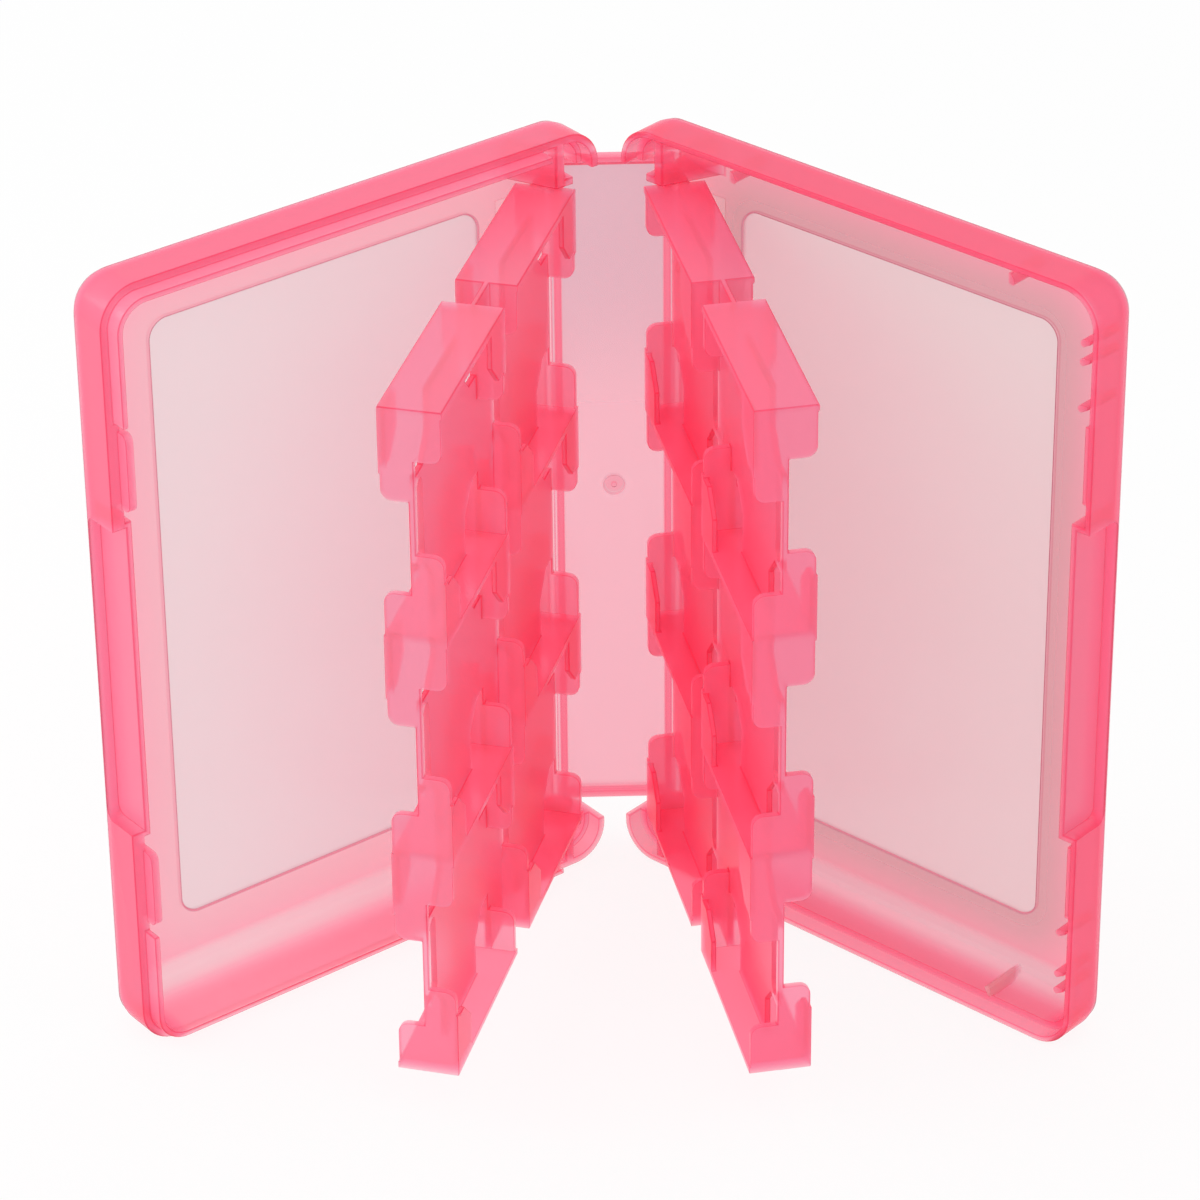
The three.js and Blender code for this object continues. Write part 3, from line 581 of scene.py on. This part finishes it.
# %% [markdown]
# ## Moulded edges
# No edge of a moulding is razor sharp: each has a small radius from the mould, which catches the
# light. The solids have sharp edges, so each one is copied, its loose triangles are merged into
# one skin, flat neighbours are joined into large faces, and a Bevel rounds what is left. A radius
# that suits a wall would swallow a fine step, so each edge gets a weight from the room beside it.

# %% Merged copies with joined faces
SAME_PLACE = 0.001 * MM
TINY = 0.01 * MM
FLAT_ANGLE = np.radians(0.5)
SHARP_ANGLE = np.radians(28.0)


def values_of(items, name, width=1, kind=np.float64):
    """Array of one property of all vertices, edges, loops or faces of a mesh."""
    values = np.empty(len(items) * width, dtype=kind)
    items.foreach_get(name, values)
    return values.reshape(-1, width) if width > 1 else values


def merged_skin(source, name):
    """Copy of a triangle mesh in which corners at the same place are one vertex.

    Corner positions are rounded to a grid, and equal rows of that array become one point. Then
    tiny edges are closed, and the edges between triangles that lie in one plane are dissolved.
    """
    points = values_of(source.data.vertices, "co", 3)
    corners = values_of(source.data.loops, "vertex_index", kind=np.int64)
    keys = np.round(points / SAME_PLACE).astype(np.int64)
    _, first, lookup = np.unique(keys, axis=0, return_index=True, return_inverse=True)
    faces = lookup.reshape(-1)[corners].reshape(-1, 3)
    apart = (faces[:, 0] != faces[:, 1]) & (faces[:, 1] != faces[:, 2]) & (faces[:, 2] != faces[:, 0])
    skin = bpy.data.meshes.new(name)
    skin.from_pydata(points[first].tolist(), [], faces[apart].tolist())
    work = bmesh.new()
    work.from_mesh(skin)
    bmesh.ops.dissolve_degenerate(work, dist=TINY, edges=work.edges)
    bmesh.ops.dissolve_limit(work, angle_limit=FLAT_ANGLE, verts=work.verts, edges=work.edges)
    work.to_mesh(skin)
    work.free()
    return skin


print("edges count as sharp from", round(np.degrees(SHARP_ANGLE)), "degrees")

# %% How much room each edge has
ROOM_SHARE = 0.3
STRAIGHT_SUM = 1.25


def side_clearance(corners):
    """Free space beside each side of a face.

    A corner c is measured from the point a + t s of a side that starts at a and goes along s, with
    t = (c - a).s / s.s held between 0 and 1. A side gets the least distance from it to a corner
    that isn't on it, or from one of its own corners to another side.
    """
    along = np.roll(corners, -1, axis=0) - corners
    apart = corners[:, None] - corners[None]
    t = np.clip(np.sum(apart * along, axis=2) / np.sum(along * along, axis=1), 0.0, 1.0)
    gap = np.linalg.norm(apart - t[:, :, None] * along, axis=2)
    own = np.arange(len(corners))
    gap[own, own] = np.inf
    gap[np.roll(own, -1), own] = np.inf
    ends = gap.min(axis=1)
    return np.minimum(gap.min(axis=0), np.minimum(ends, np.roll(ends, -1)))


def edge_room(skin):
    """Largest rounding for each edge of a closed skin, 0 where it isn't sharp.

    An edge may take a share of the clearance in the tighter of its two faces. It is sharp where
    the normals of its faces turn by more than the sharp angle.
    """
    points = values_of(skin.vertices, "co", 3)
    ends = values_of(skin.edges, "vertices", 2, np.int64)
    corner = values_of(skin.loops, "vertex_index", kind=np.int64)
    loop_edge = values_of(skin.loops, "edge_index", kind=np.int64)
    starts = values_of(skin.polygons, "loop_start", kind=np.int64)
    clear = [side_clearance(points[face]) for face in np.split(corner, starts[1:])]
    room = np.full(len(ends), np.inf)
    np.minimum.at(room, loop_edge, ROOM_SHARE * np.concatenate(clear))
    face = np.repeat(np.arange(len(clear)), [len(sides) for sides in clear])
    pairs = face[np.argsort(loop_edge, kind="stable")].reshape(-1, 2)
    normal = values_of(skin.polygons, "normal", 3)
    sharp = np.sum(normal[pairs[:, 0]] * normal[pairs[:, 1]], axis=1) < np.cos(SHARP_ANGLE)
    return even_along_runs(np.where(sharp, room, 0.0), points, ends)


def even_along_runs(room, points, ends):
    """Gives all edges of a run the least room that one of them has.

    A run goes on through a vertex where the outward directions of its sharp edges nearly cancel.
    Two edges of different width would meet far from such a vertex. Each pass hands the least
    value on to the next edges, until nothing changes.
    """
    sharp = room > 0
    outward = points[ends[:, 1]] - points[ends[:, 0]]
    outward = outward / np.linalg.norm(outward, axis=1, keepdims=True) * sharp[:, None]
    total = np.zeros_like(points)
    np.add.at(total, ends[:, 0], outward)
    np.add.at(total, ends[:, 1], -outward)
    passing = np.linalg.norm(total, axis=1) < STRAIGHT_SUM
    while True:
        least = np.full(len(points), np.inf)
        np.minimum.at(least, ends[sharp].reshape(-1), np.repeat(room[sharp], 2))
        least[~passing] = np.inf
        lower = np.where(sharp, np.minimum(room, least[ends].min(axis=1)), 0.0)
        if np.array_equal(lower, room):
            return room
        room = lower


print("an edge takes at most", ROOM_SHARE, "of the room beside it")

# %% Rounded copies that stand for the nodes
COVER_ROUNDING = 0.35 * MM
TRAY_ROUNDING = 0.25 * MM
SPINE_ROUNDING = 0.2 * MM
BEVEL_STEPS = 2
FLAT_FACE_WEIGHT = 80


def crest_values(rounded):
    """1 at vertices that touch only the faces made by the Bevel, 0 at all others."""
    made = values_of(rounded.polygons, "material_index", kind=np.int32)
    count = values_of(rounded.polygons, "loop_total", kind=np.int64)
    corner = values_of(rounded.loops, "vertex_index", kind=np.int64)
    crest = np.ones(len(rounded.vertices))
    np.minimum.at(crest, corner, np.repeat(made, count).astype(float))
    return crest


def moulded_copy(node, plastic, rounding):
    """Rounded copy of a CAD node that stands for it and rides on the same body.

    The Bevel gives its faces the second material slot. They are read from the evaluated mesh into
    the edge attribute, and the plain mesh with one slot takes the place of the modifier.
    """
    skin = merged_skin(frame["nodes"][node], node + "_sharp")
    weights = np.minimum(edge_room(skin), rounding) / rounding
    skin.attributes.new("bevel_weight_edge", "FLOAT", "EDGE").data.foreach_set("value", weights)
    skin.polygons.foreach_set("use_smooth", np.ones(len(skin.polygons), dtype=bool))
    skin.set_sharp_from_angle(angle=SHARP_ANGLE)
    skin.materials.append(plastic)
    skin.materials.append(plastic)
    piece = bpy.data.objects.new(node + "_moulded", skin)
    bpy.context.scene.collection.objects.link(piece)
    bevel = piece.modifiers.new("moulded_edges", "BEVEL")
    bevel.width = rounding
    bevel.segments = BEVEL_STEPS
    bevel.limit_method = "WEIGHT"
    bevel.use_clamp_overlap = False
    bevel.material = 1
    shading = piece.modifiers.new("flat_faces", "WEIGHTED_NORMAL")
    shading.mode = "FACE_AREA"
    shading.weight = FLAT_FACE_WEIGHT
    shading.keep_sharp = True
    graph = bpy.context.evaluated_depsgraph_get()
    rounded = bpy.data.meshes.new_from_object(
        piece.evaluated_get(graph), preserve_all_data_layers=True, depsgraph=graph)
    rounded.name = node + "_moulded"
    rounded.attributes.new(EDGE_NAME, "FLOAT", "POINT").data.foreach_set("value", crest_values(rounded))
    rounded.polygons.foreach_set("material_index", np.zeros(len(rounded.polygons), dtype=np.int32))
    rounded.materials.pop()
    piece.modifiers.clear()
    piece.data = rounded
    bpy.data.meshes.remove(skin)
    bodies = frame["record"]["behaviour"]["bodies"]
    body = next(name for name, nodes in bodies.items() if node in nodes)
    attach(piece, body)
    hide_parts(node)
    mean = rounding * weights[weights > 0].mean() / MM
    print(piece.name, "faces:", len(rounded.polygons), "mean rounding", round(mean, 3), "mm")


moulded_copy("left_cover", left_plastic, COVER_ROUNDING)
moulded_copy("right_cover", right_plastic, COVER_ROUNDING)
moulded_copy("left_tray", left_tray_plastic, TRAY_ROUNDING)
moulded_copy("right_tray", right_tray_plastic, TRAY_ROUNDING)
moulded_copy("spine_panel", spine_plastic, SPINE_ROUNDING)

# %% [markdown]
# ## The hinge films
# On the real case each cover hangs on the spine by a strip of the same plastic, rolled so thin
# that it bends for years. The solid has a bead there, because a solid can't bend. Here the strip
# is a profile carried up the hinge: a curve from the spine's edge round the hinge axis to the
# cover's edge, thinner in the middle. It is shaped for the angles at which the covers stand.

# %% Hinge films
FILM_REACH = 0.64 * MM
FILM_MIDDLE = 0.3 * MM
FILM_ENDS = 0.6 * MM
FILM_STEPS = 13
FILM_ROWS = 40


def film_profile(hinge, cover_direction, spine_direction):
    """Closed outline of the film across the hinge, as points in plan.

    The middle line is a quadratic curve (1-t)^2 A + 2t(1-t) O + t^2 B from the spine's edge A past
    the axis O to the cover's edge B. The thickness goes from its middle value to its end value by
    (2t-1)^2, and half of it goes to each side along the normal. A depth of (2t-1)^4 for each point
    is near 1 only where the film is thick.
    """
    t = np.linspace(0.0, 1.0, FILM_STEPS)[:, None]
    start = hinge + FILM_REACH * spine_direction
    end = hinge + FILM_REACH * cover_direction
    middle = (1 - t) ** 2 * start + 2 * t * (1 - t) * hinge + t ** 2 * end
    along = 2 * (1 - t) * (hinge - start) + 2 * t * (end - hinge)
    along = along / np.linalg.norm(along, axis=1, keepdims=True)
    across = np.stack([-along[:, 1], along[:, 0]], axis=1)
    half = (FILM_MIDDLE + (FILM_ENDS - FILM_MIDDLE) * (2 * t - 1) ** 2) / 2
    depth = ((2 * t - 1) ** 4).reshape(-1)
    outline = np.concatenate([middle + half * across, (middle - half * across)[::-1]])
    return outline, np.concatenate([depth, depth[::-1]]), start, end


def prism_skin(name, outline, low, high, rows):
    """Closed skin of an outline carried up from one height to another.

    Point (row, column) of the grid is the outline's point at an evenly spaced height. Quads join
    neighbours, and one polygon closes each end.
    """
    count = len(outline)
    heights = np.linspace(low, high, rows)
    points = np.concatenate(
        [np.tile(outline, (rows, 1)), np.repeat(heights, count)[:, None]], axis=1)
    column = np.arange(count)
    row = np.arange(rows - 1)[:, None] * count
    after = (column + 1) % count
    quads = np.stack([row + column, row + after, row + count + after, row + count + column], axis=-1)
    bottom = column[::-1].tolist()
    top = (column + (rows - 1) * count).tolist()
    skin = bpy.data.meshes.new(name)
    skin.from_pydata(points.tolist(), [], quads.reshape(-1, 4).tolist() + [bottom, top])
    work = bmesh.new()
    work.from_mesh(skin)
    bmesh.ops.recalc_face_normals(work, faces=work.faces)
    work.to_mesh(skin)
    work.free()
    skin.polygons.foreach_set("use_smooth", np.ones(len(skin.polygons), dtype=bool))
    skin.set_sharp_from_angle(angle=SHARP_ANGLE)
    return skin


spine_low, spine_high = (np.array(corner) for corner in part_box("spine_panel"))
film_low, film_high = spine_low[2], spine_high[2]
for side, hinge, sign, angle in (("left", hinge_left, -1.0, LEFT_OPEN),
                                 ("right", hinge_right, 1.0, RIGHT_OPEN)):
    outwards = np.array([sign * np.sin(angle), -np.cos(angle)])
    inwards = np.array([-sign, 0.0])
    outline, depth, start, end = film_profile(hinge[:2], outwards, inwards)
    film = bpy.data.objects.new(
        side + "_film", prism_skin(side + "_film", outline, film_low, film_high, FILM_ROWS))
    bpy.context.scene.collection.objects.link(film)
    film.data.materials.append(film_plastic)
    crest = film.data.attributes.new(EDGE_NAME, "FLOAT", "POINT")
    crest.data.foreach_set("value", np.tile(depth, FILM_ROWS))
    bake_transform(film)
    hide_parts(side + "_hinge_film")
    print(film.name, "faces:", len(film.data.polygons))
